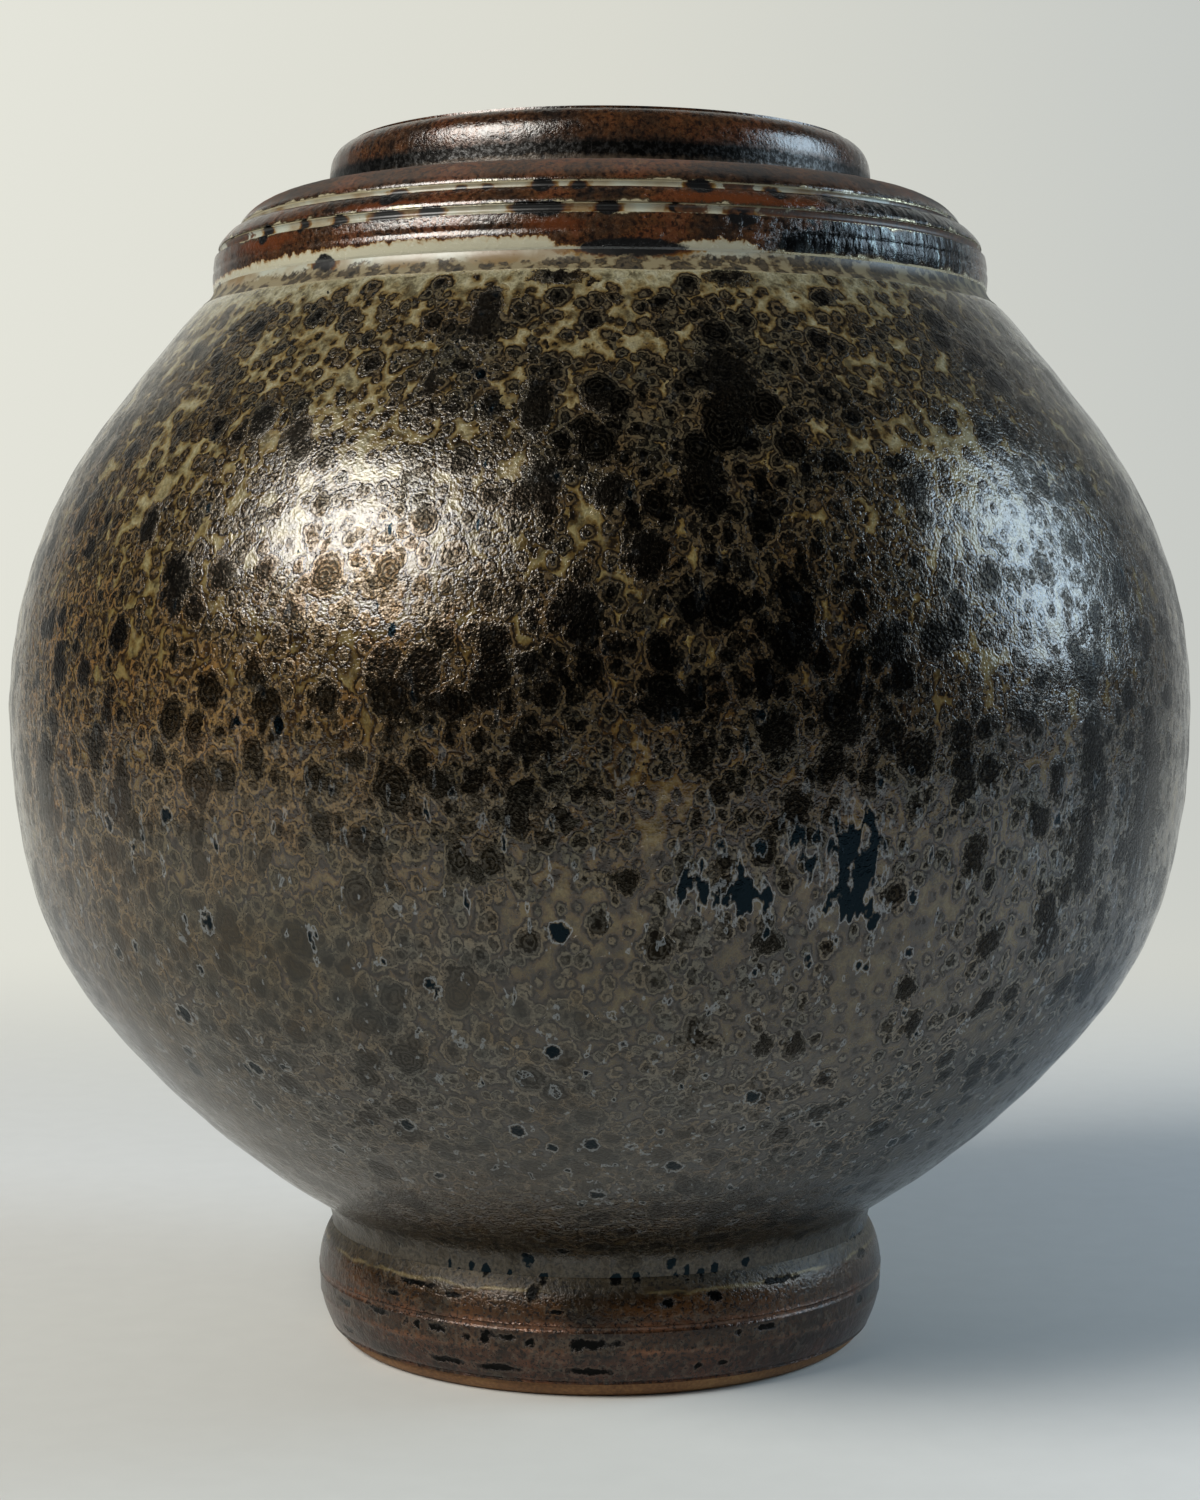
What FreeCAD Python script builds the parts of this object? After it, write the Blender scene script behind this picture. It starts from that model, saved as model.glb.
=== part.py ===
import FreeCAD, Part
import math
import os
from collections import namedtuple

# Hand-thrown stoneware jar, in millimetres, with +Z up and the origin under the middle of the foot.
# It is thrown in five sections that are luted together with slip, and glazed in two coats.
# Every outline lies in the XZ plane, as a radius and a height, and is turned round the Z axis.

# Wall and floor of the two bowls
wall = 5.5
floor_thickness = 6.5
floor_round_radius = 20.0

# Belly: arcs that run tangent to each other from the widest line. One hands over to the next at a
# share of the way from the shoulder's seat, or from the foot, out to the belly
belly_radius = 88.2
belly_up_arc_radius = 69.8
flank_arc_radius = 332.5
flank_start_share = 0.507
belly_down_arc_radius = 110.0
hip_start_share = 0.949
hip_arc_radius = 52.8
taper_start_share = 0.717
taper_arc_radius = 132.3

# Foot ring, from the ground up
foot_radius = 38.9
foot_bearing_width = 4.9
foot_edge_bevel = 0.8
foot_height = 17.4
foot_lip_run = 2.1
foot_lip_rise = 2.3
foot_lip_crown_height = 0.4
foot_lower_roll_run = 1.8
foot_lower_roll_rise = 7.9
foot_roll_crown_height = 0.5
foot_groove_rise = 0.8
foot_groove_depth = 0.3
foot_upper_roll_run = 2.0
recess_taper_width = 2.5
neck_fillet_run = 2.8
neck_fillet_rise = 4.5
neck_fillet_depth = 0.6

# Shoulder, from the upper bowl inwards and upwards
seat_run = 1.6
seat_rise = 2.3
seat_depth = 0.25
ridge_run = 0.4
ridge_rise = 5.0
ridge_crown_height = 0.15
lower_groove_run = 0.4
lower_groove_rise = 1.1
middle_bead_run = 2.4
middle_bead_rise = 2.6
middle_bead_crown_height = 0.2
upper_groove_run = 0.8
upper_groove_rise = 0.8
groove_depth = 0.45
upper_bead_run = 4.9
upper_bead_rise = 3.5
upper_bead_crown_height = 0.55
ledge_run = 8.4
ledge_rise = 0.3
shoulder_wall = 5.7
shoulder_inside_crown_height = 3.6

# Collar and rim
mouth_radius = 35.5
throat_round_radius = 2.5
collar_flank_run = 0.4
collar_flank_rise = 5.1
rim_outer_run = 2.5
rim_outer_rise = 3.4
rim_outer_crown_height = 0.7
rim_inner_round_radius = 2.4

# Slip seams, each with a ridge that keys into the section below
slip_thickness = 0.7
key_height = 1.2
key_half_width = 1.4

# Glaze coats
cream_thickness = 0.35
iron_thickness = 0.45
liner_thickness = 0.5
cream_edge_height = 14.3

# One overrun serves all cuts
overrun = 5.0

# Places that follow from the sizes above
glaze_thickness = cream_thickness + iron_thickness
foot_bearing_inner_radius = foot_radius - foot_bearing_width
recess_top_radius = foot_bearing_inner_radius - recess_taper_width
foot_widest_radius = foot_radius + foot_lip_run + foot_lower_roll_run
foot_top_radius = foot_widest_radius - foot_upper_roll_run
foot_upper_roll_rise = foot_height - foot_lip_rise - foot_lower_roll_rise - foot_groove_rise
base_height = foot_height + slip_thickness
bowl_foot_radius = foot_top_radius + neck_fillet_run
bowl_foot_height = base_height + neck_fillet_rise
floor_height = base_height + floor_thickness

# Steps of (run outwards, rise, bulge) up the foot, and up the shoulder, collar and rim
foot_steps = [
    (foot_lip_run, foot_lip_rise, foot_lip_crown_height),
    (foot_lower_roll_run, foot_lower_roll_rise, foot_roll_crown_height),
    (0, foot_groove_rise, -foot_groove_depth),
    (-foot_upper_roll_run, foot_upper_roll_rise, foot_roll_crown_height),
    (0, slip_thickness, 0),
]
shoulder_steps = [
    (-seat_run, seat_rise, -seat_depth),
    (-ridge_run, ridge_rise, ridge_crown_height),
    (-lower_groove_run, lower_groove_rise, -groove_depth),
    (-middle_bead_run, middle_bead_rise, middle_bead_crown_height),
    (-upper_groove_run, upper_groove_rise, -groove_depth),
    (-upper_bead_run, upper_bead_rise, upper_bead_crown_height),
    (-ledge_run, ledge_rise, 0),
    (-collar_flank_run, collar_flank_rise, 0),
    (-rim_outer_run, rim_outer_rise, rim_outer_crown_height),
]
rim_top_radius = mouth_radius + rim_inner_round_radius
seat_radius = rim_top_radius - sum(step[0] for step in shoulder_steps)


def point(radius, height):
    return FreeCAD.Vector(radius, 0, height)


def towards(angle):
    return point(math.cos(angle), math.sin(angle))


def line(start, end):
    return Part.LineSegment(start, end).toShape()


def bulged(start, end, bulge):
    """An arc whose middle stands off its chord by bulge, to the right of the way from start to end."""
    if bulge == 0:
        return line(start, end)
    way = end - start
    right = point(way.z, -way.x).normalize()
    middle = (start + end) / 2 + right * bulge
    return Part.Arc(start, middle, end).toShape()


def swept(centre, radius, first, last):
    """An arc about a centre, from one angle to another."""
    middle = (first + last) / 2
    ends = [centre + towards(angle) * radius for angle in (first, middle, last)]
    return Part.Arc(*ends).toShape()


def face(edges):
    return Part.Face(Part.Wire(edges))


def polygon(*points):
    return Part.Face(Part.makePolygon(list(points) + [points[0]]))


def box_window(inner, outer, low, high):
    return polygon(point(inner, low), point(outer, low), point(outer, high), point(inner, high))


Sweep = namedtuple("Sweep", "centre radius start end")


def tangent_arcs(radii, ends, way):
    """Arcs up (way 1) or down (way -1) from the belly line, each as far as the radius in ends."""
    centre = point(belly_radius - radii[0], 0)
    angle = 0
    arcs = []
    for index, radius in enumerate(radii):
        if index > 0:
            centre = centre + towards(angle) * (radii[index - 1] - radius)
        end = way * math.acos((ends[index] - centre.x) / radius)
        arcs.append(Sweep(centre, radius, angle, end))
        angle = end
    return arcs


def handover(end_radius, share):
    return end_radius + (belly_radius - end_radius) * share


def bowl_arcs():
    """The bowl's arcs from the foot up to the shoulder's seat, and the height of the belly line."""
    up = tangent_arcs([belly_up_arc_radius, flank_arc_radius],
                      [handover(seat_radius, flank_start_share), seat_radius], 1)
    down = tangent_arcs([belly_down_arc_radius, hip_arc_radius, taper_arc_radius],
                        [handover(bowl_foot_radius, hip_start_share),
                         handover(bowl_foot_radius, taper_start_share), bowl_foot_radius], -1)
    lift = bowl_foot_height - bowl_point(down[-1], down[-1].end, 0).z
    rising = [Sweep(arc.centre, arc.radius, arc.end, arc.start) for arc in reversed(down)] + up
    return [arc._replace(centre=arc.centre + point(0, lift)) for arc in rising], lift


def bowl_point(arc, angle, offset):
    return arc.centre + towards(angle) * (arc.radius + offset)


bowl, belly_height = bowl_arcs()
seat_height = bowl_point(bowl[-1], bowl[-1].end, 0).z


def step_points(start, steps):
    places = [start]
    for run, rise, bulge in steps:
        places.append(places[-1] + point(run, rise))
    return places


shoulder_points = step_points(point(seat_radius, seat_height), shoulder_steps)
(seat, crease, ridge_top, middle_bead_foot, middle_bead_top, upper_bead_foot,
 ledge_edge, collar_foot, collar_top, rim_top) = shoulder_points


def outer_form(coat):
    """All that lies inside the jar's outer face under a coat of glaze, filled to the axis."""
    foot_points = step_points(point(foot_radius + coat, 0), foot_steps)
    diagonal = towards(math.radians(45)) * coat
    shoulder = [place + diagonal for place in shoulder_points[1:-1]] + [rim_top + point(0, coat)]
    shoulder.insert(0, bowl_point(bowl[-1], bowl[-1].end, coat))
    edges = [line(point(0, 0), foot_points[0])]
    for start, end, step in zip(foot_points, foot_points[1:], foot_steps):
        edges.append(bulged(start, end, step[2]))
    edges.append(bulged(foot_points[-1], bowl_point(bowl[0], bowl[0].start, coat), -neck_fillet_depth))
    for arc in bowl:
        edges.append(swept(arc.centre, arc.radius + coat, arc.start, arc.end))
    for start, end, step in zip(shoulder, shoulder[1:], shoulder_steps):
        edges.append(bulged(start, end, step[2]))
    edges.append(line(shoulder[-1], point(0, shoulder[-1].z)))
    edges.append(line(point(0, shoulder[-1].z), point(0, 0)))
    return face(edges)


throat = point(mouth_radius + throat_round_radius, ledge_edge.z - shoulder_wall)
bore_foot_height = throat.z + throat_round_radius
bore_top_height = rim_top.z - rim_inner_round_radius


def round_bulge(radius):
    """How far a quarter round stands off its chord."""
    return radius * (1 - math.cos(math.radians(45)))


def hollow(coat):
    """The space inside the jar, with a coat of glaze on its walls, and the way out above it."""
    taper = bowl[0]
    inset = -(wall + coat)
    floor_centre_height = floor_height + floor_round_radius
    reach = taper.radius - wall - floor_round_radius
    drop = floor_centre_height - taper.centre.z
    floor_centre = point(taper.centre.x + math.sqrt(reach ** 2 - drop ** 2), floor_centre_height)
    meet = math.atan2(drop, floor_centre.x - taper.centre.x)
    floor_edge = floor_centre - point(0, floor_round_radius - coat)
    edges = [line(point(0, floor_edge.z), floor_edge)]
    edges.append(swept(floor_centre, floor_round_radius - coat, -math.radians(90), meet))
    edges.append(swept(taper.centre, taper.radius + inset, meet, taper.end))
    for arc in bowl[1:]:
        edges.append(swept(arc.centre, arc.radius + inset, arc.start, arc.end))
    throat_start = throat - point(0, coat)
    bore_foot = point(mouth_radius - coat, bore_foot_height)
    bore_top = point(mouth_radius - coat, bore_top_height)
    rim = rim_top + point(0, coat)
    way_out = rim_top.z + overrun
    edges.append(bulged(bowl_point(bowl[-1], bowl[-1].end, inset), throat_start,
                        shoulder_inside_crown_height))
    edges.append(bulged(throat_start, bore_foot, -round_bulge(throat_round_radius + coat)))
    edges.append(line(bore_foot, bore_top))
    edges.append(bulged(bore_top, rim, -round_bulge(rim_inner_round_radius + coat)))
    edges.append(line(rim, point(rim.x, way_out)))
    edges.append(line(point(rim.x, way_out), point(0, way_out)))
    edges.append(line(point(0, way_out), point(0, floor_edge.z)))
    return face(edges)


def recess():
    """The hollow under the foot, up to the underside of the bowl."""
    return polygon(point(0, 0),
                   point(foot_bearing_inner_radius + foot_edge_bevel, 0),
                   point(foot_bearing_inner_radius, foot_edge_bevel),
                   point(recess_top_radius, foot_height),
                   point(recess_top_radius, base_height),
                   point(0, base_height))


# Each seam's height and the radius of the middle of its wall
seams = {
    "foot": (foot_height, (recess_top_radius + foot_top_radius) / 2),
    "belly": (belly_height, belly_radius - wall / 2),
    "shoulder": (crease.z, crease.x - wall / 2),
    "collar": (collar_foot.z, (mouth_radius + collar_foot.x) / 2),
}


def below(seam, lift):
    """All that lies under a seam's keyed line, raised by lift."""
    height, middle = seams[seam]
    height = height + lift
    reach = belly_radius + overrun
    return polygon(point(0, -overrun), point(reach, -overrun), point(reach, height),
                   point(middle + key_half_width, height),
                   point(middle, height - key_height),
                   point(middle - key_half_width, height),
                   point(0, height))


def turned(section):
    """The solids that a section makes when it is turned round the axis."""
    solids = [part.revolve(point(0, 0), FreeCAD.Vector(0, 0, 1), 360) for part in section.Faces]
    return solids[0] if len(solids) == 1 else Part.makeCompound(solids)


def clay_sections():
    """The five thrown sections and the four slip seams between them."""
    clay = outer_form(0).cut(hollow(0)).cut(recess())
    names = ["foot_ring", "lower_bowl", "upper_bowl", "shoulder_ring", "collar"]
    sections = {}
    rest = clay
    for name, seam in zip(names, seams):
        sections[name] = rest.common(below(seam, 0))
        rest = rest.cut(below(seam, 0))
        sections[seam + "_slip_seam"] = rest.common(below(seam, slip_thickness))
        rest = rest.cut(below(seam, slip_thickness))
    sections[names[-1]] = rest
    return sections


def glaze_sections():
    """The cream coat, the iron coat where it lies over it or on bare clay, and the liner."""
    coat = outer_form(glaze_thickness).cut(outer_form(0)).cut(hollow(0))
    reach = belly_radius + overrun
    top = rim_top.z + overrun
    lift = towards(math.radians(45)) * glaze_thickness
    collar_edge = collar_foot.x + lift.x
    cream = outer_form(cream_thickness).cut(outer_form(0))
    cream = cream.common(box_window(0, reach, cream_edge_height, top))
    cream = cream.cut(box_window(0, collar_edge, crease.z, top))
    iron = coat.cut(cream)
    half = lift.z / 2
    bands = {
        "foot_iron_glaze": (0, foot_lip_rise, foot_height),
        "body_iron_glaze": (0, foot_height, seat.z),
        "ridge_iron_glaze": (0, crease.z + half, ridge_top.z + half),
        "middle_bead_iron_glaze": (0, middle_bead_foot.z + half, middle_bead_top.z + half),
        "upper_bead_iron_glaze": (collar_edge, upper_bead_foot.z + half, top),
    }
    sections = {"cream_glaze": cream}
    for name, (inner, low, high) in bands.items():
        sections[name] = iron.common(box_window(inner, reach, low, high))
    sections["collar_iron_glaze"] = iron.common(box_window(0, collar_edge, crease.z, top))
    sections["inside_liner_glaze"] = hollow(0).cut(hollow(liner_thickness))
    return sections


def main():
    os.makedirs("parts", exist_ok=True)
    sections = clay_sections()
    sections.update(glaze_sections())
    for name, section in sections.items():
        turned(section).exportStep("parts/" + name + ".step")


main()
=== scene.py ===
import bpy
import math
import random

import numpy as np
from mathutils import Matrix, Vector, noise


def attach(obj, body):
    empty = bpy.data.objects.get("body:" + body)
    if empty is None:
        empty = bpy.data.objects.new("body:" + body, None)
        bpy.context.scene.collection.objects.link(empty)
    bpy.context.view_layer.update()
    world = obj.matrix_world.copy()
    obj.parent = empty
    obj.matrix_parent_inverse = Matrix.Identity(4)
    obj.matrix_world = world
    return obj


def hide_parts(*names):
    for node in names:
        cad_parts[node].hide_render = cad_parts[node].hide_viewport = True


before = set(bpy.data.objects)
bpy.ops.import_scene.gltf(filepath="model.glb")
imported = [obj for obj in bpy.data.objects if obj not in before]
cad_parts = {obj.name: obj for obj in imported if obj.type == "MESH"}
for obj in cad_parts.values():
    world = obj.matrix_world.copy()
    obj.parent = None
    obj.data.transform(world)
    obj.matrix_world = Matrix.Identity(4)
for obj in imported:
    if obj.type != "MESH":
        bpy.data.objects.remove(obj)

bpy.context.view_layer.update()


# The clay body: two thrown bowls luted rim to rim, with a thrown foot ring, shoulder ring and
# collar luted on. It is iron-bearing stoneware, and it shows bare only on the foot's bottom edge
# and in the recess under it, where the glaze was wiped off to keep it from sticking to the shelf.
def linear(code):
    """An sRGB colour such as "#8c552d" as a linear colour with alpha."""
    parts = [int(code[i:i + 2], 16) / 255 for i in (1, 3, 5)]
    return [c / 12.92 if c <= 0.04045 else ((c + 0.055) / 1.055) ** 2.4 for c in parts] + [1]


def add(tree, kind, inputs=(), stops=(), **settings):
    """Adds a shader node: its settings, a colour ramp's stops, and its inputs, where a node or a
    socket is linked and anything else is the value."""
    node = tree.nodes.new("ShaderNode" + kind)
    for name, value in settings.items():
        setattr(node, name, value)
    for i, (position, colour) in enumerate(stops):
        ramp = node.color_ramp.elements
        stop = ramp[i] if i < 2 else ramp.new(position)
        stop.position, stop.color = position, linear(colour)
    for key, value in dict(inputs).items():
        socket = node.inputs[key] if isinstance(key, int) else next(
            s for s in node.inputs if s.enabled and s.name == key)
        if isinstance(value, bpy.types.Node):
            value = next(s for s in value.outputs if s.enabled)
        if isinstance(value, bpy.types.NodeSocket):
            tree.links.new(value, socket)
        else:
            socket.default_value = value
    return node


def finish_named(name):
    """A new material with its nodes cleared, and the place on the object in mm."""
    material = bpy.data.materials.new(name)
    material.use_nodes = True
    tree = material.node_tree
    tree.nodes.clear()
    metres = add(tree, "TexCoord").outputs["Object"]
    return material, tree, add(tree, "VectorMath", {"Vector": metres, "Scale": 1000}, operation="SCALE")


def surface(tree, **inputs):
    """The material's shader, with its inputs named as Blender names them, spaces as underscores."""
    shader = add(tree, "BsdfPrincipled", {k.replace("_", " "): v for k, v in inputs.items()})
    add(tree, "OutputMaterial", {"Surface": shader})


# Bare stoneware, wet-wiped and toasted orange-brown by the kiln: dry, with a fine sandy grain.
bare_clay, tree, place = finish_named("bare toasted stoneware")
grain = add(tree, "TexNoise", {"Vector": place, "Scale": 1 / 0.5, "Detail": 3})
toast = add(tree, "TexNoise", {"Vector": place, "Scale": 1 / 14})
both = add(tree, "Math", {0: grain, 1: toast}, operation="ADD")
colour = add(tree, "ValToRGB", {"Fac": add(tree, "Math", {0: both, 1: 0.5}, operation="MULTIPLY")},
             stops=[(0.36, "#5c3e24"), (0.5, "#785432"), (0.66, "#8e6c44")])
bump = add(tree, "Bump", {"Height": grain, "Strength": 0.35, "Distance": 0.0002})
surface(tree, Base_Color=colour, Roughness=0.8, Normal=bump)
for node in ("foot_ring", "lower_bowl", "upper_bowl", "shoulder_ring", "collar"):
    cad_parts[node].data.materials[0] = bare_clay


# The slip seams: thin clay slurry that joins the thrown parts, scored and pressed into keyed
# joints. They lie wholly inside the wall, finer and a little darker than the clay.
joining_slip, tree, place = finish_named("dried joining slip")
mottle = add(tree, "TexNoise", {"Vector": place, "Scale": 1 / 2})
colour = add(tree, "ValToRGB", {"Fac": mottle}, stops=[(0.35, "#5a3820"), (0.65, "#7a5233")])
surface(tree, Base_Color=colour, Roughness=0.9)
for node in ("foot_slip_seam", "belly_slip_seam", "shoulder_slip_seam", "collar_slip_seam"):
    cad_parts[node].data.materials[0] = joining_slip


# The cream glaze: a pale grey-green feldspar glaze, poured over the outside first, down to the
# foot's top roll. It shows in the two shoulder grooves and in the band under the ridge, where the
# iron glaze ran off it, and drops of iron have boiled through it there as black pits in amber halos.
def section_of(node):
    """A turned CAD node's outline where its seam lies: (radius, height) in mm, going up outside."""
    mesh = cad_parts[node].data
    points = np.array([v.co for v in mesh.vertices]) * 1000
    corners, spot = [], {}
    for i in np.flatnonzero((abs(points[:, 1]) < 0.002) & (points[:, 0] > 0)):
        here = points[i][[0, 2]]
        same = [k for k, c in enumerate(corners) if np.hypot(*(c - here)) < 0.006]
        if not same:
            corners.append(here)
        spot[i] = same[0] if same else len(corners) - 1
    near = {k: set() for k in range(len(corners))}
    for edge in mesh.edges:
        ends = [spot.get(i) for i in edge.vertices]
        if None not in ends and ends[0] != ends[1]:
            near[ends[0]].add(ends[1])
            near[ends[1]].add(ends[0])
    order = [0]
    while len(order) < len(corners):
        order.append(next(k for k in near[order[-1]] if k not in order))
    loop = np.array([corners[k] for k in order])
    after = np.roll(loop, -1, 0)
    goes_up_outside = (loop[:, 0] * after[:, 1] - after[:, 0] * loop[:, 1]).sum() > 0
    return loop if goes_up_outside else loop[::-1]


def sides_of(loop, corner_deg=40):
    """The outline cut at its sharp corners, as a list of open runs of points."""
    step = np.roll(loop, -1, 0) - loop
    heading = np.arctan2(step[:, 1], step[:, 0])
    turn = (heading - np.roll(heading, 1) + np.pi) % (2 * np.pi) - np.pi
    sharp = [i for i in range(len(loop)) if abs(turn[i]) > math.radians(corner_deg)]
    runs = []
    for a, b in zip(sharp, sharp[1:] + [sharp[0] + len(loop)]):
        runs.append(loop[[k % len(loop) for k in range(a, b + 1)]])
    return runs


def spaced(run, spacing):
    """Points along a smooth curve through the run's points, `spacing(radius, height)` mm apart."""
    gap = np.hypot(*np.diff(run, axis=0).T)
    at = np.concatenate([[0], np.cumsum(gap)])
    if len(run) > 2:
        before, after = gap[:-1, None], gap[1:, None]
        coming, going = (run[1:-1] - run[:-2]) / before, (run[2:] - run[1:-1]) / after
        inner = (coming * after + going * before) / (after + before)
        first = (run[1] - run[0]) / gap[0] * 2 - inner[0]
        last = (run[-1] - run[-2]) / gap[-1] * 2 - inner[-1]
        slope = np.vstack([first, inner, last])
    else:
        slope = np.repeat((run[1:] - run[:1]) / gap[0], 2, axis=0)
    where, found = 0.0, []
    while where < at[-1]:
        i = min(int(np.searchsorted(at, where, side="right")) - 1, len(gap) - 1)
        t = (where - at[i]) / gap[i]
        a, b = (2 * t**3 - 3 * t**2 + 1), (t**3 - 2 * t**2 + t)
        found.append(a * run[i] + b * gap[i] * slope[i] + (1 - a) * run[i + 1]
                     + (t**3 - t**2) * gap[i] * slope[i + 1])
        where += spacing(*found[-1])
    return np.array(found)


def turned_coat(name, node, facing, around, spacing, inner_spacing, relief, fields, crease_deg=50):
    """A glaze coat as a closed turned shell in the CAD node's own outline. Its face is what turns
    towards facing, as (outwards, upwards), in rows spacing(radius, height) mm apart, and the rest
    lies against other coats, in rows inner_spacing apart. The face is sunk by
    relief(angle, radius, height, edge) mm, where edge is the distance in mm from the face's
    nearer end. fields gives named values that the material reads, on the same terms."""
    runs = sides_of(section_of(node))
    shown = [(run[-1][1] - run[0][1]) * facing[0] > (run[-1][0] - run[0][0]) * facing[1] for run in runs]
    first = next(k for k in range(len(runs)) if shown[k] and not shown[k - 1])
    runs, shown = runs[first:] + runs[:first], shown[first:] + shown[:first]
    rows = [spaced(run, spacing if face else inner_spacing) for run, face in zip(runs, shown)]
    path = np.vstack(rows)
    face = slice(0, sum(len(row) for row, face in zip(rows, shown) if face))
    along = np.concatenate([[0], np.cumsum(np.hypot(*np.diff(path[face], axis=0).T))])
    edge = np.full(len(path), -1.0)
    edge[face] = np.minimum(along, along[-1] - along)
    tangent = np.roll(path, -1, 0) - np.roll(path, 1, 0)
    out = np.stack([tangent[:, 1], -tangent[:, 0]], 1) / np.hypot(*tangent.T)[:, None]
    angle = (np.arange(around) * 2 * np.pi / around)[:, None]
    shape = (around, len(path))
    radius, height, edge = (np.broadcast_to(x, shape) for x in (path[:, 0], path[:, 1], edge))
    sunk = np.where(edge >= 0, relief(angle, radius, height, edge), 0)
    r, z = radius - out[:, 0] * sunk, height - out[:, 1] * sunk
    points = np.stack([r * np.sin(angle), -r * np.cos(angle), z], -1)
    index = np.arange(radius.size).reshape(radius.shape)
    right = np.roll(index, -1, 0)
    quads = np.stack([index, right, np.roll(right, -1, 1), np.roll(index, -1, 1)], -1).reshape(-1, 4)
    mesh = bpy.data.meshes.new(name)
    mesh.from_pydata(points.reshape(-1, 3) / 1000, [], quads.tolist())
    for field, value in fields.items():
        found = np.broadcast_to(value(angle, radius, height, edge), radius.shape)
        mesh.attributes.new(field, "FLOAT", "POINT").data.foreach_set("value", found.ravel())
    mesh.shade_smooth()
    mesh.set_sharp_from_angle(angle=math.radians(crease_deg))
    coat = bpy.data.objects.new(name, mesh)
    bpy.context.scene.collection.objects.link(coat)
    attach(coat, "root")
    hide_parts(node)
    return coat


def mound(angle, radius, height, spots):
    """How much iron lies here from a list of spots (angle in degrees from the front, to its
    right; height, width and length in mm): 1 at a spot's middle, falling to 0 outside it."""
    most = np.zeros(radius.shape)
    for spot_deg, spot_height, width, length in spots:
        turn = (np.degrees(angle) - spot_deg + 180) % 360 - 180
        across = np.radians(turn) * radius / (width / 2)
        rise = (height - spot_height) / (length / 2)
        most = np.maximum(most, np.exp(-(rise * rise + across * across)))
    return most


def placed(spots):
    """A field for a coat: how much iron a list of spots puts at each point."""
    return lambda angle, radius, height, edge: mound(angle, radius, height, spots)


groove_drops = [
    (-30, 166.6, 3.4, 2.4), (-20, 167.3, 1.2, 1.0), (-16, 167.3, 1.2, 1.0), (-8, 167.4, 3.0, 2.2),
    (-3, 167.2, 2.0, 1.4), (14, 167.4, 3.4, 2.2), (25, 166.8, 2.2, 1.8), (34, 166.6, 3.0, 1.6),
    (-45, 163.8, 1.6, 2.2), (-54, 163.6, 2.6, 3.0), (-38, 163.8, 2.4, 1.8), (-30, 163.8, 4.6, 1.8),
    (-23, 164.0, 3.4, 1.8), (-10, 164.0, 3.2, 2.0), (-7, 163.9, 4.4, 2.4), (1, 163.9, 3.2, 2.0),
    (10, 164.0, 1.6, 1.4), (19, 163.0, 4.0, 2.6), (-40, 158.0, 4.0, 3.0), (4, 158.6, 14.0, 2.4),
]
at_the_back = random.Random(11)
for _ in range(34):
    groove_drops.append((at_the_back.uniform(62, 298), at_the_back.choice([157.6, 163.8, 163.8, 167.3]),
                         at_the_back.uniform(1.4, 4.4), at_the_back.uniform(1.2, 2.6)))
rust_over_grooves = [
    (48, 164, 60, 6), (58, 167.5, 20, 2), (12, 163.6, 4, 2), (-66, 164, 14, 3), (20, 167.6, 5, 2),
    (120, 164, 24, 4), (170, 167.4, 30, 2), (232, 164, 36, 4),
]
iron_over_band = [(62, 157, 60, 14), (250, 157, 60, 14), (150, 157, 40, 12)]


def covered_rows(on_belly):
    """Row spacing for a side that another coat covers: on_belly mm along the belly's even curve,
    and close where the form turns sharply."""
    return lambda radius, height: on_belly if 30 < height < 153 else 1.0


under_iron = covered_rows(5.0)
cream_coat = turned_coat(
    "cream_glaze_coat", "cream_glaze", (1, 0.3), 440,
    lambda r, z: 0.3 if z > 154 and r > 50 else under_iron(r, z), under_iron,
    lambda angle, r, z, edge: 0.0,
    {"drops": placed(groove_drops), "run": placed(iron_over_band), "rusted": placed(rust_over_grooves)})

# Feldspar glaze over iron stoneware: glossy and milky, its cream stained tan where iron has
# dissolved in it, and amber to black round each drop.
cream_glaze, tree, place = finish_named("milky feldspar glaze with iron drops")
drops, run, rusted = [add(tree, "Attribute", attribute_name=field).outputs["Fac"]
                      for field in ("drops", "run", "rusted")]
height = add(tree, "SeparateXYZ", {"Vector": place}).outputs["Z"]
ragged = add(tree, "TexNoise", {"Vector": place, "Scale": 1 / 0.9, "Detail": 3, "Roughness": 0.6})
stain = add(tree, "TexNoise", {"Vector": place, "Scale": 1 / 7, "Detail": 3})
wobble = add(tree, "Math", {0: ragged, 1: -0.5}, operation="ADD")
deep = add(tree, "Math", {0: wobble, 1: 0.55, 2: drops}, operation="MULTIPLY_ADD")
cream = add(tree, "ValToRGB", {"Fac": stain},
            stops=[(0.36, "#a2a598"), (0.5, "#948e7a"), (0.66, "#786444")])
amber = add(tree, "ValToRGB", {"Fac": deep},
            stops=[(0.08, "#ffffff"), (0.2, "#c89c52"), (0.32, "#7c4812"), (0.44, "#1c120b"),
                   (0.8, "#0c0a08")])
colour = add(tree, "Mix", {"Factor": 1.0, "A": cream, "B": amber},
             data_type="RGBA", blend_type="MULTIPLY")
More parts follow.
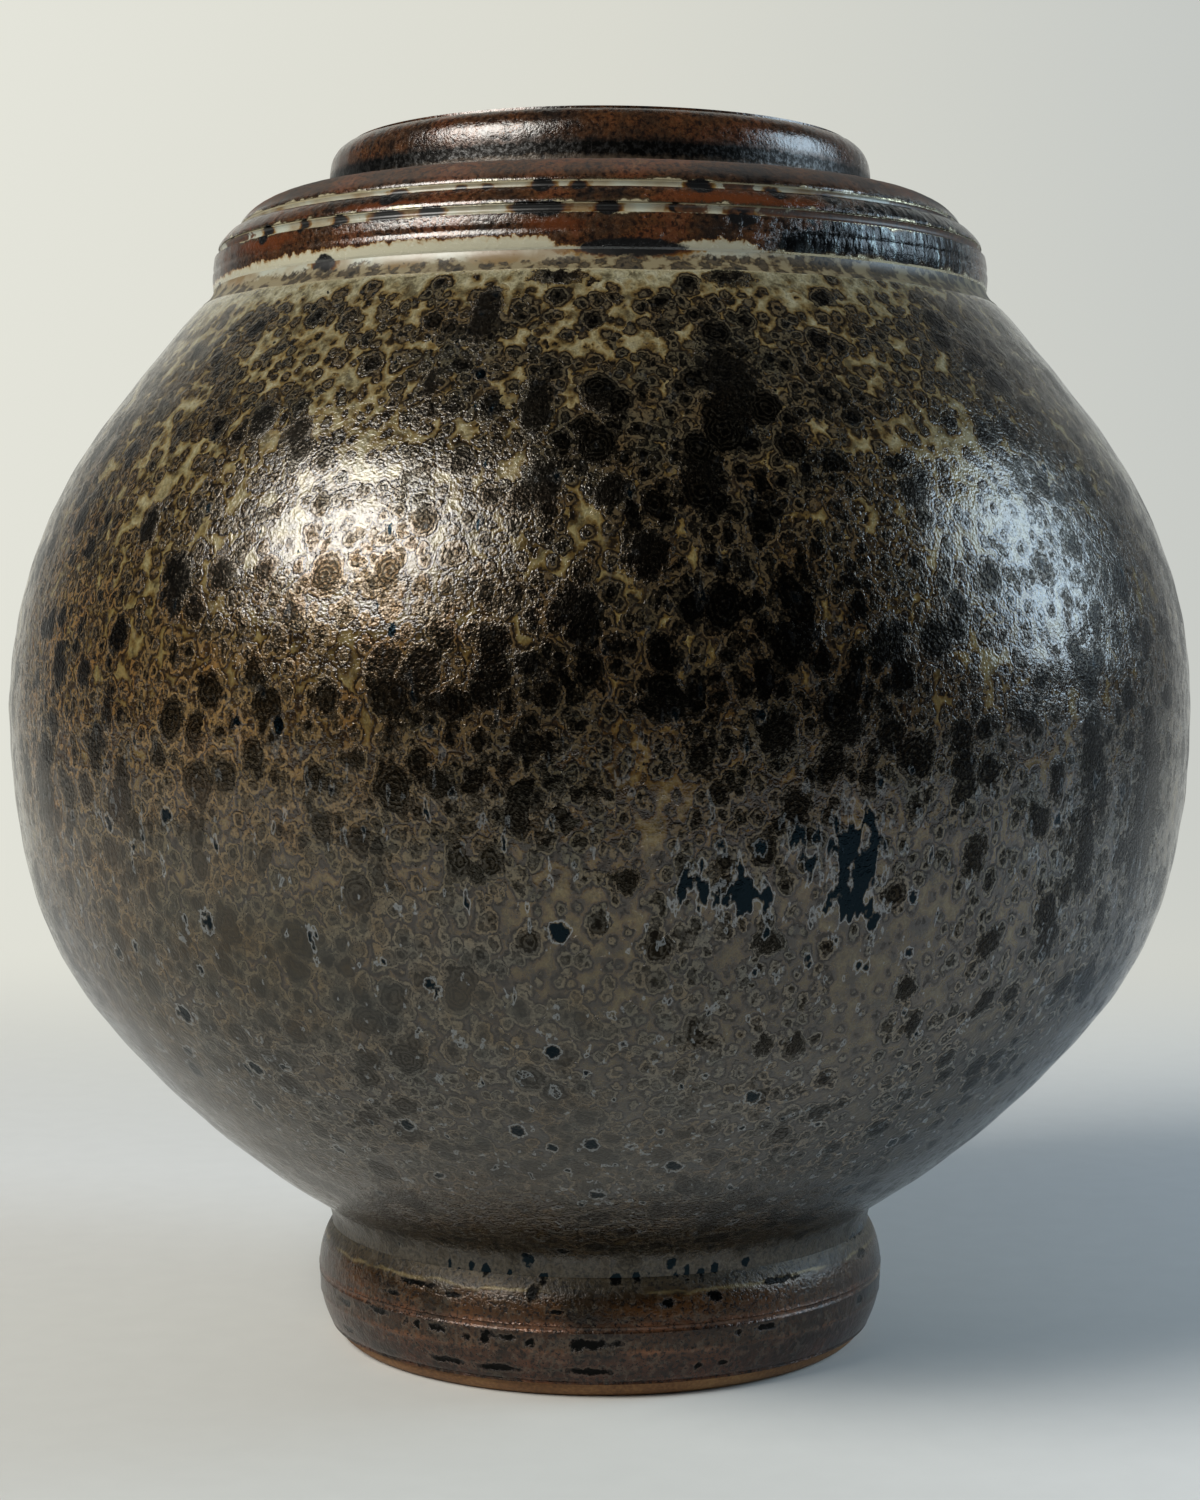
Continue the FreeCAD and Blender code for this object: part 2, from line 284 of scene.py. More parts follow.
# The iron glaze's upper edge lies over the band's foot in a ragged, spotted line.
overrun = height
for part, share in ((stain, 3.0), (wobble, 2.6), (run, -5.0)):
    overrun = add(tree, "Math", {0: part, 1: share, 2: overrun}, operation="MULTIPLY_ADD")
overrun = add(tree, "MapRange", {"Value": overrun, "From Min": 158.9, "From Max": 158.5})
fringe = add(tree, "VectorMath", {0: place, 1: (1, 1, 0.7)}, operation="MULTIPLY")
fringe = add(tree, "TexVoronoi", {"Vector": fringe, "Scale": 1 / 2.2}).outputs["Distance"]
fringe = add(tree, "Math", {0: wobble, 1: 1.2, 2: fringe}, operation="MULTIPLY_ADD")
iron_edge = add(tree, "ValToRGB", {"Fac": fringe},
                stops=[(0.1, "#15130f"), (0.22, "#4c4232"), (0.34, "#3c3426"), (0.42, "#1c1710"),
                       (0.5, "#54462e"), (0.66, "#7a7056")])
rusted = add(tree, "Math", {0: wobble, 1: 1.0, 2: rusted}, operation="MULTIPLY_ADD")
rusted = add(tree, "ValToRGB", {"Fac": rusted}, stops=[(0.36, "#000000"), (0.46, "#ffffff")])
rusty = add(tree, "ValToRGB", {"Fac": ragged},
            stops=[(0.35, "#241608"), (0.55, "#4c2c12"), (0.7, "#5c3c20")])
for share, over in ((overrun, iron_edge), (rusted, rusty)):
    colour = add(tree, "Mix", {"Factor": share, "A": colour, "B": over}, data_type="RGBA")
skin = add(tree, "TexNoise", {"Vector": place, "Scale": 1 / 1.4})
bump = add(tree, "Bump", {"Height": skin, "Strength": 0.25, "Distance": 0.0002})
covered = add(tree, "Math", {0: overrun, 1: rusted}, operation="MAXIMUM")
roughness = add(tree, "MapRange", {"Value": covered, "To Min": 0.36, "To Max": 0.45})
surface(tree, Base_Color=colour, Roughness=roughness, IOR=1.6, Normal=bump)
cream_coat.data.materials.append(cream_glaze)


# The body's iron glaze: a saturated iron glaze over the cream one. In the kiln it broke into
# spots that show the cream between them as a net, ran downwards, and pooled in black blots.
# It is thickest round the belly, and thins at its upper edge, under the ridge.
front_blots = [
    (-45, 87, 5, 15), (-47, 98, 3, 8), (-39, 114, 6, 10), (-45, 122, 4, 7), (-34, 116, 5, 6),
    (-35, 136, 5, 6), (-30, 134, 5, 5), (-5, 127, 6, 8), (1, 126, 6, 6), (-6, 137, 5, 11),
    (0, 138, 5, 5), (-13, 149, 5, 11), (-2, 112, 8, 7), (4, 118, 7, 9), (5, 100, 10, 6),
    (14, 96, 7, 8), (20, 97, 7, 8), (16, 108, 8, 7), (24, 107, 8, 8), (-13, 90, 5, 6),
    (-20, 93, 5, 4), (-6, 105, 4, 3), (-13, 100, 5, 4), (29, 126, 5, 6), (9, 128, 7, 12),
    (13, 139, 10, 18), (-5, 155, 11, 4), (16, 155, 10, 4), (31, 91, 5, 4), (38, 97, 6, 5),
    (-17, 140, 3, 5), (8, 93, 3, 3), (-21, 83, 3, 3), (-10, 79, 4, 4), (42, 89, 4, 7),
    (49, 86, 4, 8), (28, 63, 4, 5), (15, 56, 3, 5), (18, 56, 3, 5), (9, 43, 4, 2),
    (-25, 74, 2, 2), (-19, 75, 2, 2), (-9, 67, 2, 2), (14, 70, 6, 4), (2, 78, 5, 4),
    (33, 80, 5, 8), (40, 84, 5, 7), (47, 79, 6, 14), (52, 70, 4, 8), (44, 68, 6, 10),
    (36, 68, 5, 6), (30, 58, 3, 5), (57, 80, 5, 12), (38, 60, 4, 5), (58, 84, 14, 40),
    (47, 92, 8, 16), (-60, 86, 10, 18),
]
back_blots = [
    (at_the_back.uniform(60, 300), at_the_back.triangular(62, 154, 112), at_the_back.uniform(3, 9),
     at_the_back.uniform(4, 12)) for _ in range(80)
]
foot_pits = [
    (-31, 17.9, 1.3, 1.6), (-26, 18.1, 1.2, 1.8), (-23, 17.8, 1.8, 2.0), (-18, 17.8, 1.3, 1.3),
    (-11, 17.4, 1.5, 1.2), (-13, 15.4, 2.2, 2.4), (3, 17.2, 1.8, 2.0), (7, 17.6, 1.0, 1.8),
    (15, 17.8, 1.2, 1.4), (17, 17.9, 1.3, 1.8), (20, 17.6, 1.3, 1.8), (23, 17.9, 1.9, 1.8),
    (30, 18.3, 1.5, 1.8), (22, 14.6, 3.4, 2.0), (13, 14.0, 2.4, 1.6), (37, 15.4, 9.0, 0.9),
    (-48, 9.6, 5.0, 1.2), (-40, 9.0, 1.2, 1.8), (-37, 9.2, 1.2, 1.6), (-32, 9.0, 3.4, 1.4),
    (-26, 8.4, 1.8, 1.4), (-22, 8.8, 2.2, 2.4), (-18, 8.9, 3.4, 1.2), (-13, 8.4, 1.4, 2.0),
    (-2, 8.4, 9.0, 1.7), (27, 9.0, 1.2, 1.0), (33, 9.2, 5.0, 1.0), (-31, 4.4, 6.0, 1.2),
    (-20, 4.2, 7.0, 1.3), (-3, 4.3, 9.0, 1.1), (19, 4.6, 1.2, 1.2), (24, 4.6, 1.6, 1.0),
    (-38, 14.9, 7.0, 0.8), (-29, 14.2, 3.0, 0.9), (-44, 12.8, 4.0, 0.8), (-8, 13.0, 3.0, 0.7),
]
for _ in range(36):
    foot_pits.append((at_the_back.uniform(60, 300), at_the_back.choice([17.8, 15.0, 8.8, 4.4]),
                      at_the_back.uniform(1.2, 6.0), at_the_back.uniform(1.0, 2.0)))
blue_pools = [(21, 80, 12, 18), (12, 76, 8, 7), (8, 77, 7, 6), (23, 72, 6, 8), (16, 82, 5, 6),
              (140, 78, 12, 14), (215, 82, 14, 12)]


def streak(angle, height, width_mm, length_mm, seed):
    """Smooth noise drawn out downwards, from about -1 to 1, on a turned form of 80 mm radius."""
    across = 80 / width_mm
    found = [noise.noise(Vector((math.sin(a) * across, math.cos(a) * across, h / length_mm + seed)))
             for a, h in np.broadcast(angle, height)]
    return np.array(found).reshape(height.shape)


# Where grey crystals cover the glaze and where they are few, where the net is ochre, where the
# skin is brown, and where the iron lies thick.
grey_crystals = [
    (-34, 66, 100, 50), (0, 40, 80, 40), (-8, 60, 56, 24), (-50, 50, 60, 50), (20, 32, 50, 24),
    (150, 60, 120, 50), (240, 50, 110, 50),
]
few_crystals = [(52, 76, 80, 80), (44, 54, 70, 50)]
ochre_net = [
    (-2, 76, 40, 12), (6, 64, 40, 16), (22, 66, 40, 24), (-14, 78, 26, 8), (34, 78, 30, 12),
    (170, 74, 60, 14), (250, 70, 50, 16),
]
brown_skin = [(-34, 98, 60, 30), (-58, 100, 50, 60), (-20, 112, 30, 20), (130, 105, 60, 40),
              (210, 120, 50, 50)]
thick_iron = [
    (48, 146, 40, 20), (58, 72, 44, 50), (44, 84, 30, 24), (14, 104, 64, 44), (32, 92, 44, 26),
    (10, 132, 44, 36), (-8, 96, 34, 24), (60, 104, 50, 50), (-13, 146, 16, 20), (165, 110, 70, 50),
    (260, 116, 60, 60),
]
throwing_pitch = 7


def body_relief(angle, radius, height, edge):
    """Faint throwing rings and runs. The blots stand up, and the coat thins at both its ends."""
    turn = height / throwing_pitch * 2 * np.pi + 2 * streak(angle, height, 60, 30, 5)
    runs = 0.10 * streak(angle, height, 7, 45, 1) + 0.05 * streak(angle, height, 25, 25, 9)
    level = 0.22 + 0.04 * np.sin(turn) - runs - 0.12 * mound(angle, radius, height, blots)
    upper_end = np.where(height > 100, np.clip(1 - edge / 0.8, 0, 1), 0)
    lower_end = np.clip((24 - height) / 5, 0, 1)
    return np.clip(level, 0, 0.3) * (1 - lower_end) + 0.2 * lower_end + 0.12 * upper_end


blots = front_blots + back_blots
body_glaze = turned_coat(
    "body_oil_spot_glaze", "body_iron_glaze", (1, 0.1), 440, lambda r, z: 1.1, covered_rows(4.0),
    body_relief,
    {"blot": placed(blots),
     "pool": placed(blue_pools),
     "pits": placed(foot_pits),
     "crystals": lambda angle, r, z, edge: (mound(angle, r, z, grey_crystals)
                                            * (1 - 0.9 * mound(angle, r, z, few_crystals))),
     "ochre": placed(ochre_net),
     "brown": placed(brown_skin),
     "thick": placed(thick_iron),
     "flow": lambda angle, r, z, edge: streak(angle, z, 9, 45, 1) + 0.5 * streak(angle, z, 18, 30, 3),
     "edge": lambda angle, r, z, edge: np.where(
         z > 100, edge + 4 * mound(angle, r, z, iron_over_band), 60)})


def iron_spots(tree, place, across_mm, least_mm, spread_mm, thick):
    """Round spots of iron about across_mm apart, as the depth in mm inside a spot's edge, below 0
    outside it. A spot's radius is from least_mm to least_mm + spread_mm, plus what thick gives."""
    cells = add(tree, "TexVoronoi", {"Vector": place, "Scale": 1 / across_mm})
    size = add(tree, "SeparateColor", {"Color": cells.outputs["Color"]})
    radius = add(tree, "Math", {0: size, 1: spread_mm, 2: least_mm}, operation="MULTIPLY_ADD")
    radius = add(tree, "Math", {0: radius, 1: thick}, operation="ADD")
    from_middle = cells.outputs["Distance"]
    return add(tree, "Math", {0: from_middle, 1: -across_mm, 2: radius}, operation="MULTIPLY_ADD")


# Oil-spot iron glaze: spots of iron crystals with dark outlines and fine rings, on a net of cream
# that turns ochre down the jar; glassy black in the blots and pools. The crystals mirror a little
# like metal, so the table shows in them as a grey veil, broken by the fine dark rings.
oil_spot, tree, place = finish_named("oil spot iron glaze")
crystals, brown, flow, ochre, heavy, blot, edge, placed_pits, pool = [
    add(tree, "Attribute", attribute_name=field).outputs["Fac"]
    for field in ("crystals", "brown", "flow", "ochre", "thick", "blot", "edge", "pits", "pool")]
height = add(tree, "SeparateXYZ", {"Vector": place}).outputs["Z"]
drawn = add(tree, "VectorMath", {0: place, 1: (1, 1, 0.78)}, operation="MULTIPLY")
wander = add(tree, "TexNoise", {"Vector": place, "Scale": 1 / 1.5, "Detail": 3, "Roughness": 0.65})
drift = add(tree, "VectorMath", {0: wander.outputs["Color"], 1: (0.5, 0.5, 0.5)}, operation="SUBTRACT")
drift = add(tree, "VectorMath", {"Vector": drift, "Scale": 1.5}, operation="SCALE")
warped = add(tree, "VectorMath", {0: drawn, 1: drift}, operation="ADD")

# The spots come in three sizes and grow where the glaze is thick. The placed blots join them,
# and all of them give way to the cream towards the coat's upper edge.
cloud = add(tree, "TexNoise", {"Vector": drawn, "Scale": 1 / 9})
thick = add(tree, "Math", {0: cloud, 1: 2.8, 2: -1.5}, operation="MULTIPLY_ADD")
for part, share in ((flow, 0.45), (crystals, 1.2), (brown, 0.6), (ochre, -0.6), (heavy, 0.95)):
    thick = add(tree, "Math", {0: part, 1: share, 2: thick}, operation="MULTIPLY_ADD")
half_thick = add(tree, "Math", {0: thick, 1: 0.5}, operation="MULTIPLY")
iron = iron_spots(tree, warped, 2.0, 0.6, 0.6, half_thick)
middling = iron_spots(tree, warped, 4.2, 0.3, 2.1, thick)
large = iron_spots(tree, warped, 8.0, -1.2, 3.8, thick)
rough_rim = add(tree, "TexNoise", {"Vector": drawn, "Scale": 1 / 1.1, "Detail": 4, "Roughness": 0.7})
rim_wobble = add(tree, "Math", {0: rough_rim, 1: -0.5}, operation="ADD")
blot = add(tree, "Math", {0: blot, 1: 4.2, 2: -1.8}, operation="MULTIPLY_ADD")
blot = add(tree, "Math", {0: rim_wobble, 1: 3.5, 2: blot}, operation="MULTIPLY_ADD")
for spots, softness in ((middling, 0.2), (large, 0.3), (blot, 0.3)):
    iron = add(tree, "Math", {0: iron, 1: spots, 2: softness}, operation="SMOOTH_MAX")
iron = add(tree, "Math", {0: rim_wobble, 1: 0.6, 2: iron}, operation="MULTIPLY_ADD")
near_edge = add(tree, "MapRange", {"Value": edge, "From Min": 0.0, "From Max": 5.0,
                                   "To Min": 1.5, "To Max": 0.0})
iron = add(tree, "Math", {0: iron, 1: near_edge}, operation="SUBTRACT")

# The net between the spots and the skin of the spots, both by height, in patches.
coat_foot, coat_top, patch_shift = 17.4, 155.8, 40
patch = add(tree, "TexNoise", {"Vector": place, "Scale": 1 / 16})
shifted = add(tree, "Math", {0: patch, 1: patch_shift, 2: height}, operation="MULTIPLY_ADD")
level = add(tree, "MapRange", {"Value": shifted, "From Min": coat_foot + patch_shift / 2,
                               "From Max": coat_top + patch_shift / 2})
net = add(tree, "ValToRGB", {"Fac": level},
          stops=[(0.0, "#33291a"), (0.22, "#4a4028"), (0.40, "#605434"), (0.55, "#70603a"),
                 (0.7, "#8a825e"), (0.85, "#969074"), (1.0, "#9a967e")])
clouded = add(tree, "TexNoise", {"Vector": drawn, "Scale": 1 / 2.2, "Detail": 4, "Roughness": 0.65})
patchy = add(tree, "ValToRGB", {"Fac": clouded},
             stops=[(0.36, "#8a8272"), (0.5, "#e6e2d6"), (0.62, "#ffffff")])
net = add(tree, "Mix", {"Factor": 1.0, "A": net, "B": patchy}, data_type="RGBA", blend_type="MULTIPLY")
skin = add(tree, "ValToRGB", {"Fac": level},
           stops=[(0.0, "#4e402e"), (0.25, "#70685a"), (0.45, "#5e543e"), (0.6, "#4a3a22"),
                  (0.8, "#584c36"), (1.0, "#5c523e")])
skin = add(tree, "Mix", {"Factor": brown, "A": skin, "B": linear("#886c42")}, data_type="RGBA")
tints = add(tree, "TexNoise", {"Vector": place, "Scale": 1 / 5, "Detail": 3})
tint = add(tree, "ValToRGB", {"Fac": tints},
           stops=[(0.32, "#d8e2ea"), (0.5, "#ffffff"), (0.66, "#fff0d8")])
skin = add(tree, "Mix", {"Factor": 1.0, "A": skin, "B": tint}, data_type="RGBA", blend_type="MULTIPLY")
spotted = add(tree, "MapRange", {"Value": iron, "From Min": -0.16, "From Max": 0.02})
colour = add(tree, "Mix", {"Factor": spotted, "A": net, "B": skin}, data_type="RGBA")

# Across a spot's edge, from 1 mm outside it to 3 mm inside: an amber stain, a dark outline, a
# pale skin that darkens inwards.
in_mm = add(tree, "MapRange", {"Value": iron, "From Min": -1, "From Max": 3})
shade = add(tree, "ValToRGB", {"Fac": in_mm},
            stops=[(0.0, "#ffffff"), (0.11, "#f0e6d4"), (0.18, "#b49c74"), (0.235, "#64523a"),
                   (0.26, "#605848"), (0.31, "#f4f4f4"), (0.38, "#d8d8d8"), (0.5, "#a0a0a0")])
colour = add(tree, "Mix", {"Factor": 1.0, "A": colour, "B": shade},
             data_type="RGBA", blend_type="MULTIPLY")
grain = add(tree, "TexNoise", {"Vector": place, "Scale": 1 / 0.55, "Roughness": 0.7})
speck = add(tree, "MapRange", {"Value": grain, "From Min": 0.5, "From Max": 0.7, "To Max": 0.5})

# Winding rings run along the spots' edges, 0.6 mm apart, about the finest that the render shows.
ring_mm = 0.6
maze = add(tree, "TexNoise", {"Vector": drawn, "Scale": 1 / 1.4, "Roughness": 0.55})
winding = add(tree, "Math", {0: maze, 1: 11}, operation="MULTIPLY")
ring_phase = add(tree, "Math", {0: iron, 1: 2 * math.pi / ring_mm, 2: winding}, operation="MULTIPLY_ADD")
ring = add(tree, "Math", {0: ring_phase}, operation="SINE")
dark_line = add(tree, "MapRange", {"Value": ring, "From Min": -0.1, "From Max": -0.8})
line_depth = add(tree, "MapRange", {"Value": iron, "From Min": -0.3, "From Max": 0.15,
                                    "To Min": 0.12, "To Max": 0.75})
finer = add(tree, "Math", {0: crystals, 1: -0.45, 2: 1.0}, operation="MULTIPLY_ADD")
finer = add(tree, "Math", {0: brown, 1: -0.35, 2: finer}, operation="MULTIPLY_ADD", use_clamp=True)
for share in (line_depth, finer):
    dark_line = add(tree, "Math", {0: dark_line, 1: share}, operation="MULTIPLY")

# The black core of a thick spot, held back where crystals or brown skin cover it.
core = iron
for part, share in ((grain, 2.6), (rim_wobble, 2.0)):
    core = add(tree, "Math", {0: part, 1: share, 2: core}, operation="MULTIPLY_ADD")
core = add(tree, "MapRange", {"Value": core, "From Min": 1.5, "From Max": 2.2, "To Max": 0.97})
pale_line = add(tree, "MapRange", {"Value": ring, "From Min": 0.1, "From Max": 0.9,
                                   "To Min": 1.0, "To Max": 0.65})
held_back = add(tree, "Math", {0: crystals, 1: -0.75, 2: 1.0}, operation="MULTIPLY_ADD")
held_back = add(tree, "Math", {0: brown, 1: -0.15, 2: held_back}, operation="MULTIPLY_ADD",
                use_clamp=True)
thinner_above = add(tree, "MapRange", {"Value": height, "From Min": 112, "From Max": 140,
                                       "To Min": 1.0, "To Max": 0.72})
for share in (pale_line, held_back, thinner_above):
    core = add(tree, "Math", {0: core, 1: share}, operation="MULTIPLY")
scratchy = add(tree, "MapRange", {"Value": grain, "From Min": 0.52, "From Max": 0.68, "To Max": 0.5})
scratchy = add(tree, "Math", {0: scratchy, 1: core}, operation="MULTIPLY")

# Glassy pits and the blue pools, each with a painted highlight on its rim low on the jar.
pitted = add(tree, "Math", {0: crystals, 1: 0.7, 2: -0.2}, operation="MULTIPLY_ADD")
glassy = iron_spots(tree, warped, 5.0, -1.5, 2.5, pitted)
placed_pits = add(tree, "Math", {0: placed_pits, 1: 2.0, 2: -0.8}, operation="MULTIPLY_ADD")
pool = add(tree, "Math", {0: pool, 1: 1.35, 2: -0.92}, operation="MULTIPLY_ADD")
dripping = add(tree, "VectorMath", {0: place, 1: (1, 1, 0.35)}, operation="MULTIPLY")
dripping = add(tree, "TexNoise", {"Vector": dripping, "Scale": 1 / 1.6})
dripping = add(tree, "Math", {0: dripping, 1: -0.52}, operation="ADD")
pool = add(tree, "Math", {0: dripping, 1: 4.4, 2: pool}, operation="MULTIPLY_ADD")
for part in (placed_pits, pool):
    glassy = add(tree, "Math", {0: glassy, 1: part}, operation="MAXIMUM")
glassy = add(tree, "Math", {0: rim_wobble, 1: 1.3, 2: glassy}, operation="MULTIPLY_ADD")
glass = add(tree, "MapRange", {"Value": glassy, "From Min": -0.04, "From Max": 0.12})
# Painted highlight: a pale grey ring on each rim, strongest low on the jar, fainter near the foot and
# high up.
painted_rim_highlight = add(tree, "ValToRGB", {"Fac": add(tree, "Math", {0: glassy, 1: 0.5}, operation="ADD")},
              stops=[(0.16, "#000000"), (0.26, "#ffffff"), (0.38, "#ffffff"), (0.46, "#000000")])
low = add(tree, "MapRange", {"Value": height, "From Min": 100, "From Max": 76,
                             "To Min": 0.1, "To Max": 0.65})
off_foot = add(tree, "MapRange", {"Value": height, "From Min": 20, "From Max": 32,
                                  "To Min": 0.25, "To Max": 1.0})
low = add(tree, "Math", {0: low, 1: off_foot}, operation="MULTIPLY")
painted_rim_highlight = add(tree, "Math", {0: painted_rim_highlight, 1: low}, operation="MULTIPLY")
bare = add(tree, "Math", {0: rim_wobble, 1: 4.0, 2: edge}, operation="MULTIPLY_ADD")
bare = add(tree, "MapRange", {"Value": bare, "From Min": 0.4, "From Max": 0.1})
for share, code in ((speck, "#332c22"), (core, "#070707"), (scratchy, "#4a463c"),
                    (dark_line, "#100d0a"), (painted_rim_highlight, "#7e8284"), (glass, "#0c181e"),
                    (bare, "#958c70")):
    colour = add(tree, "Mix", {"Factor": share, "A": colour, "B": linear(code)}, data_type="RGBA")

# How much the surface mirrors like metal: the crystal skin a little, and the black parts
# almost fully, as dark metal reflects little.
metal = add(tree, "ValToRGB", {"Fac": in_mm},
            stops=[(0.2, "#000000"), (0.3, "#bcbcbc"), (0.45, "#bcbcbc"), (0.6, "#d0d0d0")])
wanted = add(tree, "Math", {0: crystals, 1: 0.75, 2: 0.15}, operation="MULTIPLY_ADD")
metal = add(tree, "Math", {0: metal, 1: wanted}, operation="MULTIPLY")
mirrors = add(tree, "Math", {0: core, 1: 1.5}, operation="MULTIPLY")
mirrors = add(tree, "Math", {0: scratchy, 1: -0.8, 2: mirrors}, operation="MULTIPLY_ADD")
dark_glass = add(tree, "Math", {0: glass, 1: 0.95}, operation="MULTIPLY")
for part in (mirrors, dark_glass, dark_line):
    metal = add(tree, "Math", {0: metal, 1: part}, operation="MAXIMUM")
metal = add(tree, "Math", {0: metal, 1: 0.97}, operation="MINIMUM")
to_foot = add(tree, "MapRange", {"Value": height, "From Min": 23, "From Max": 18})
not_glass = add(tree, "MapRange", {"Value": glass, "To Min": 0.75, "To Max": 0.0})
to_foot = add(tree, "Math", {0: to_foot, 1: not_glass}, operation="MULTIPLY")
foot_tone = add(tree, "ValToRGB", {"Fac": grain},
                stops=[(0.38, "#241f16"), (0.5, "#443c2e"), (0.62, "#564e40")])
colour = add(tree, "Mix", {"Factor": to_foot, "A": colour, "B": foot_tone}, data_type="RGBA")
metal = add(tree, "Mix", {"Factor": to_foot, "A": metal, "B": 0.4})
roughness = add(tree, "MapRange", {"Value": wander, "From Min": 0.35, "From Max": 0.65,
                                   "To Min": 0.05, "To Max": 0.15})
for share, value in ((core, 0.28), (to_foot, 0.5)):
    roughness = add(tree, "Mix", {"Factor": share, "A": roughness, "B": value})
relief = add(tree, "MapRange", {"Value": iron, "From Min": -0.2, "From Max": 0.5,
                                "To Min": 0.0, "To Max": 0.2})
relief = add(tree, "Math", {0: ring, 1: 0.075, 2: relief}, operation="MULTIPLY_ADD")
gritty = add(tree, "Math", {0: core, 1: 0.5, 2: 0.8}, operation="MULTIPLY_ADD")
relief = add(tree, "Math", {0: grain, 1: gritty, 2: relief}, operation="MULTIPLY_ADD")
bump = add(tree, "Bump", {"Height": relief, "Distance": 0.0001})
surface(tree, Base_Color=colour, Metallic=metal, Roughness=roughness, IOR=1.68, Normal=bump)
body_glaze.data.materials.append(oil_spot)


# The shoulder's ridge, two beads and ledge, and the collar: the same iron glaze, thin over the
# sharp turned edges, where it broke to rust red, with a dark wrinkled skin where it is thicker.
incised_line = 161.2
collar_mark = 80
# The iron coats are 0.45 mm thick, so their faces sink by less than that.
deepest = 0.42
cream_tops = [(-180, 159.5), (-75, 159.2), (-40, 160.1), (-8, 160.2), (-5, 159.0), (9, 158.9),
              (12, 159.8), (19, 160.0), (24, 157.5), (75, 157.5), (100, 159.5), (180, 159.5)]
silver_side = [(48, 161, 46, 12), (52, 166, 30, 6), (30, 159.5, 16, 6)]
red_rust = [(18, 165.4, 22, 3.2), (28, 165, 12, 3), (-54, 162.4, 20, 3), (-30, 165.2, 20, 2),
            (-6, 161.8, 10, 2)]


def rust_relief(angle, radius, height, edge):
    """Ripples, a line incised in the ridge, and both ends of the coat thinning out."""
    ripple = 0.05 * streak(angle, height, 3, 6, 2) + 0.04 * streak(angle, height, 12, 5, 4)
    ripple = ripple - 0.16 * np.exp(-((height - incised_line) / 0.3) ** 2)
    return np.clip(0.12 - ripple + 0.28 * np.clip(1 - edge / 0.7, 0, 1), 0, deepest)


def cream_below(angle, radius, height, edge):
    """How far in mm this lies below the height up to which the ridge's lower face shows cream."""
    turn = (np.degrees(angle) + 180) % 360 - 180
    top = np.interp(turn, *zip(*cream_tops))
    return np.where(height < 163.8, top - height, -9)


def rust_edge(angle, radius, height, edge):
    """The distance from the face's nearer end on the ridge and beads, 60 on the ledge, and the
    collar's mark on the collar."""
    return np.where(height < 170, edge, np.where(radius < 43, collar_mark, 60))


# Iron glaze fired thin: glossy, rust red and speckled brown, with a cream line where it drew back
# from an edge. It is grainy black round the collar, silvery and wrinkled where it lies thick, and
# dry on the ledge.
rust_glaze, tree, place = finish_named("rust breaking iron glaze")
edge, red, silver, drops, cream_line = [
    add(tree, "Attribute", attribute_name=field).outputs["Fac"]
    for field in ("edge", "red", "silver", "drops", "cream_below")]
height = add(tree, "SeparateXYZ", {"Vector": place}).outputs["Z"]
ragged = add(tree, "TexNoise", {"Vector": place, "Scale": 1 / 1.2, "Detail": 4, "Roughness": 0.65})
cloud = add(tree, "TexNoise", {"Vector": place, "Scale": 1 / 9, "Detail": 3})
wobble = add(tree, "Math", {0: ragged, 1: -0.5}, operation="ADD")
red, silver, drops, cream_line, uneven, tone = [
    add(tree, "Math", {0: wobble, 1: share, 2: field}, operation="MULTIPLY_ADD")
    for field, share in ((red, 1.2), (silver, 1.4), (drops, 0.5), (cream_line, 2.4), (height, 1.6),
                         (cloud, 0.5))]
rust = add(tree, "ValToRGB", {"Fac": tone},
           stops=[(0.3, "#20150a"), (0.44, "#3e2814"), (0.56, "#523216"), (0.66, "#5c341a"),
                  (0.8, "#684a30")])
up_collar = add(tree, "MapRange", {"Value": uneven, "From Min": 171, "From Max": 181})
# Up the collar from its foot: a pale pinkish line, partly the glaze's colour and partly a painted
# reflection, then a grainy black band, then brown.
mottle = add(tree, "ValToRGB", {"Fac": up_collar},
             stops=[(0.06, "#9a826a"), (0.12, "#6c5842"), (0.2, "#443624"), (0.28, "#100e0a"),
                    (0.42, "#0e0c08"), (0.5, "#33200c")])
speckle = add(tree, "TexNoise", {"Vector": place, "Scale": 1 / 0.7, "Detail": 3, "Roughness": 0.7})
speckled = add(tree, "ValToRGB", {"Fac": speckle},
               stops=[(0.38, "#6c625a"), (0.5, "#e8e0d8"), (0.6, "#ffffff")])
rust, mottle = [add(tree, "Mix", {"Factor": 1.0, "A": tone, "B": speckled},
                    data_type="RGBA", blend_type="MULTIPLY") for tone in (rust, mottle)]
is_collar = add(tree, "MapRange", {"Value": edge, "From Min": 69, "From Max": 70})
on_collar = add(tree, "MapRange", {"Value": up_collar, "From Min": 0.54, "From Max": 0.42})
on_collar = add(tree, "Math", {0: on_collar, 1: is_collar}, operation="MULTIPLY")
red = add(tree, "MapRange", {"Value": red, "From Min": 0.3, "From Max": 0.8})
silver = add(tree, "MapRange", {"Value": silver, "From Min": 0.3, "From Max": 0.6})
standing = add(tree, "VectorMath", {0: place, 1: (1, 1, 0.3)}, operation="MULTIPLY")
standing = add(tree, "TexNoise", {"Vector": standing, "Scale": 1 / 1.3, "Detail": 3})
grained = add(tree, "Mix", {"Factor": is_collar, "A": standing, "B": ragged})
silvery = add(tree, "ValToRGB", {"Fac": grained},
              stops=[(0.42, "#060707"), (0.5, "#121415"), (0.57, "#2e3436"), (0.66, "#5a605e")])
dark = add(tree, "MapRange", {"Value": drops, "From Min": 0.3, "From Max": 0.42})
wander = add(tree, "TexNoise", {"Vector": place, "Scale": 1 / 5})
wander = add(tree, "Math", {0: wander, 1: -0.5}, operation="ADD")
bare_edge = edge
